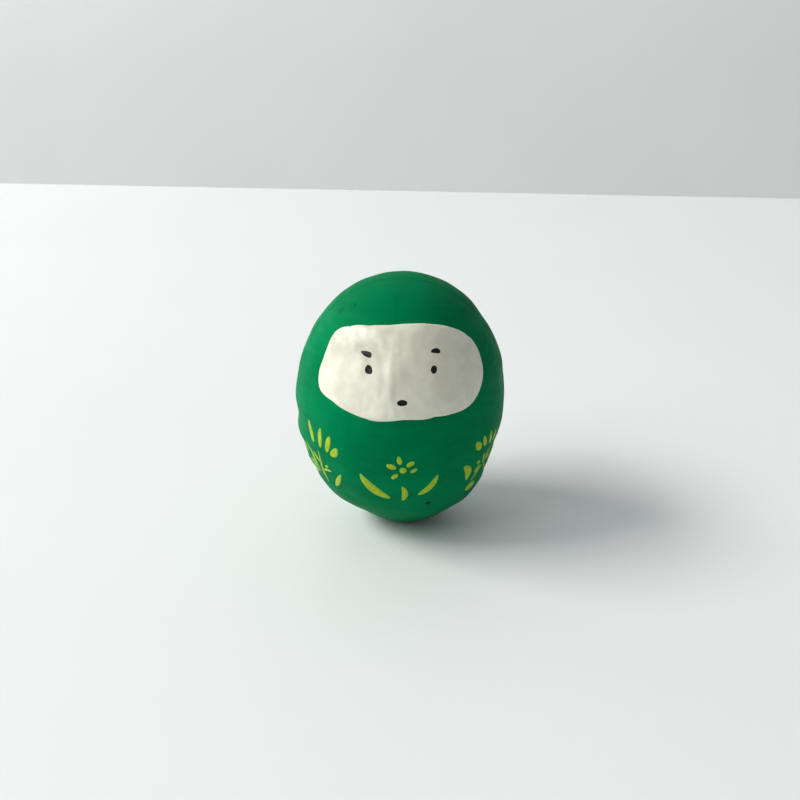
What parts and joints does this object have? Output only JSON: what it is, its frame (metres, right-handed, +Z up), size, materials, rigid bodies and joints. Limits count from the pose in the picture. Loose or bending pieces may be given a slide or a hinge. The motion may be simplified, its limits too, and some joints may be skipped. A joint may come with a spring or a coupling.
{
  "type": "daruma doll",
  "caption": "Small papier-mache daruma doll: a weighted, egg-shaped body on a small flat foot, painted green with a cream face and yellow-green brushed plants.",
  "frame": {"origin": "middle of the foot's underside, on the surface that the doll stands on", "axes": "+Z up through the top of the head, the face looks along -Y, +X to the viewer's right"},
  "size_m": [0.066, 0.066, 0.081],
  "materials": {
    "shell_paper": "rough pasted paper",
    "strip_paper": "thin washi paper",
    "clay": "dry unglazed clay",
    "foot_card": "painted card, satin",
    "ground": "matt chalk ground",
    "green_paint": "brushed satin green paint",
    "cream_paint": "satin cream paint over wrinkled paper",
    "black_paint": "satin black brush marks",
    "yellow_green_paint": "satin yellow-green brush marks"
  },
  "bodies": {
    "root": {"front_shell": "shell_paper", "back_shell": "shell_paper", "joint_strip": "strip_paper", "clay_weight": "clay", "weight_cover": "strip_paper", "base_disc": "foot_card", "ground_coat": "ground", "green_coat": "green_paint", "face_coat": "cream_paint", "left_eye": "black_paint", "right_eye": "black_paint", "left_brow": "black_paint", "right_brow": "black_paint", "mouth": "black_paint", "flower": "yellow_green_paint", "belly_leaves": "yellow_green_paint", "left_leaves": "yellow_green_paint", "left_needles": "yellow_green_paint", "right_leaves": "yellow_green_paint", "right_needles": "yellow_green_paint"}
  },
  "joints": []
}
